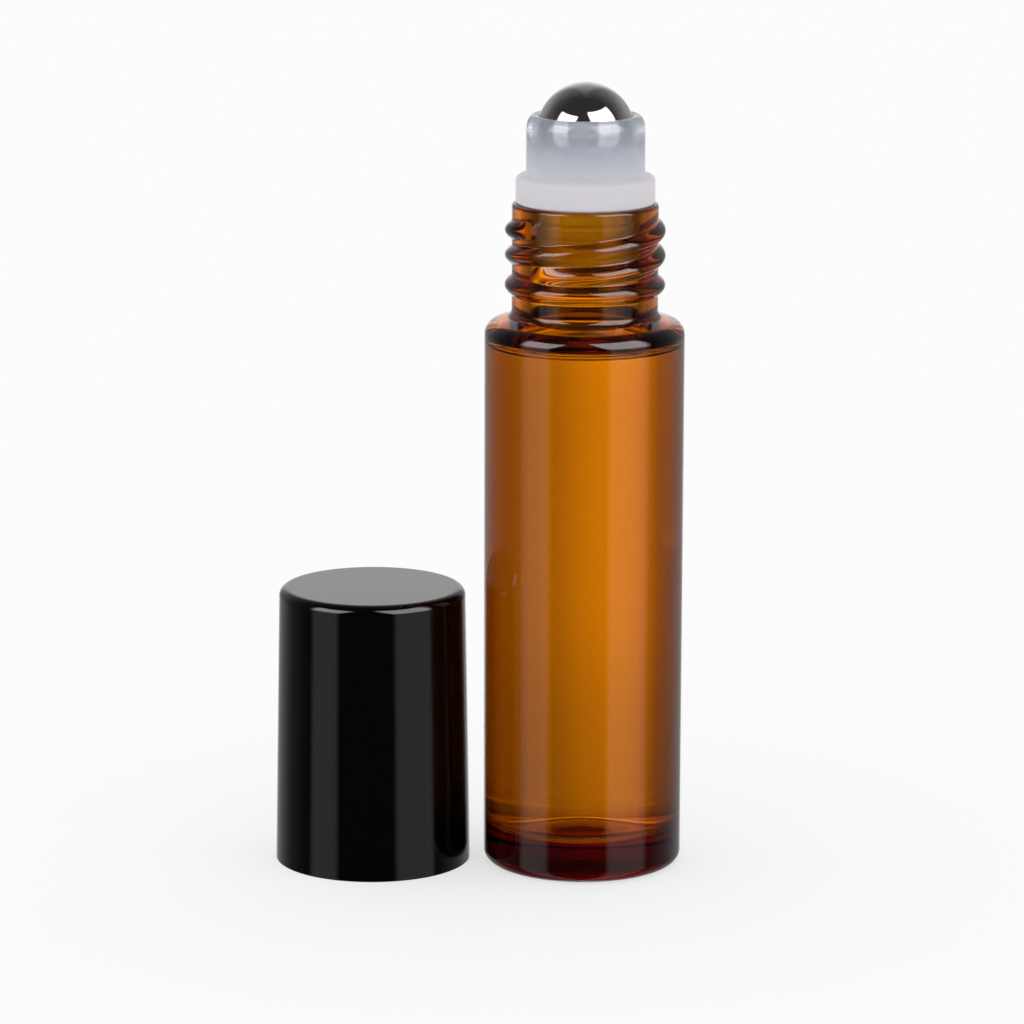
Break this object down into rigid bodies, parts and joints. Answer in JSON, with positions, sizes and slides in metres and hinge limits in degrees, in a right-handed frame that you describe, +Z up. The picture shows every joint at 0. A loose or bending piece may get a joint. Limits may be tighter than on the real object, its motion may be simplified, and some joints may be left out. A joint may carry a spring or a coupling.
{
  "type": "roll-on bottle",
  "caption": "Slim glass roll-on bottle with a threaded neck, a captive steel ball in a pressed-in plastic housing, and a tall screw cap that stands beside it.",
  "frame": {"origin": "centre of the ring that the glass bottle stands on", "axes": "+Z up along the bottle's axis, -X towards the cap that stands beside it, -Y towards the viewer"},
  "size_m": [0.0411, 0.0205, 0.0794],
  "materials": {
    "amber_glass": "clear amber moulded glass, fire-polished",
    "translucent_pe": "natural translucent polyethylene",
    "steel_ball": "polished stainless steel",
    "black_pp": "glossy black polypropylene"
  },
  "bodies": {
    "bottle": {"glass_bottle": "amber_glass", "roller_housing": "translucent_pe"},
    "ball": {"roller_ball": "steel_ball"},
    "cap": {"screw_cap": "black_pp"}
  },
  "joints": [
    {"name": "ball_roll", "type": "hinge", "parent": "bottle", "child": "ball", "pos_m": [0, 0, 0.07455], "axis": [1, 0, 0], "continuous": true},
    {"name": "cap_lift", "type": "slide", "parent": "bottle", "child": "cap", "axis": [0, 0, 1], "range_m": [0, 0.085]}
  ]
}
